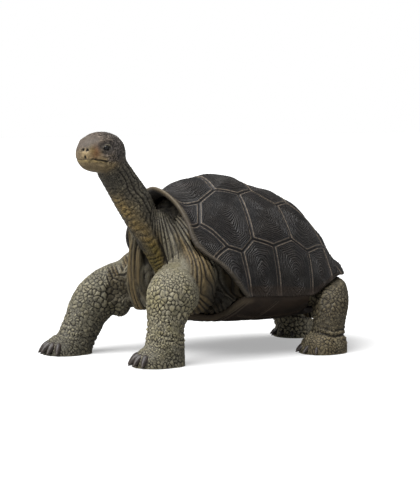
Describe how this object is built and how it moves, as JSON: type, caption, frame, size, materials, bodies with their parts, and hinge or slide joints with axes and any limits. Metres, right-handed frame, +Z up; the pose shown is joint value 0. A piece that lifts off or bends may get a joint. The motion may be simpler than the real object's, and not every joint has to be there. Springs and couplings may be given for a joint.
{
  "type": "toy giant tortoise figure",
  "caption": "Moulded and painted toy figure of a saddle-backed giant tortoise, walking with its neck raised, standing on four flat soles.",
  "frame": {"origin": "on the ground under the middle of the figure's box", "axes": "the head faces -Y, the animal's left side is +X, and +Z is up"},
  "size_m": [0.0637, 0.1073, 0.0731],
  "materials": {
    "shell": "near-black brown paint, lighter brown dry brush on the raised seam lines",
    "belly_shell": "dark brown paint",
    "skin": "khaki olive grey paint, dark wash in the grooves, ochre in the folds, tan beak",
    "claw": "dark horn brown paint",
    "eye": "gloss black paint"
  },
  "bodies": {
    "root": {"carapace": "shell", "eye_left": "eye", "eye_right": "eye", "front_left_claw_1": "claw", "front_left_claw_2": "claw", "front_left_claw_3": "claw", "front_left_claw_4": "claw", "front_left_claw_5": "claw", "front_left_foot": "skin", "front_left_lower_leg": "skin", "front_left_upper_leg": "skin", "front_right_claw_1": "claw", "front_right_claw_2": "claw", "front_right_claw_3": "claw", "front_right_claw_4": "claw", "front_right_claw_5": "claw", "front_right_foot": "skin", "front_right_lower_leg": "skin", "front_right_upper_leg": "skin", "head": "skin", "hind_left_claw_1": "claw", "hind_left_claw_2": "claw", "hind_left_claw_3": "claw", "hind_left_claw_4": "claw", "hind_left_foot": "skin", "hind_left_lower_leg": "skin", "hind_left_upper_leg": "skin", "hind_right_claw_1": "claw", "hind_right_claw_2": "claw", "hind_right_claw_3": "claw", "hind_right_claw_4": "claw", "hind_right_foot": "skin", "hind_right_lower_leg": "skin", "hind_right_upper_leg": "skin", "neck": "skin", "plastron": "belly_shell", "tail": "skin", "trunk": "skin"}
  },
  "joints": []
}
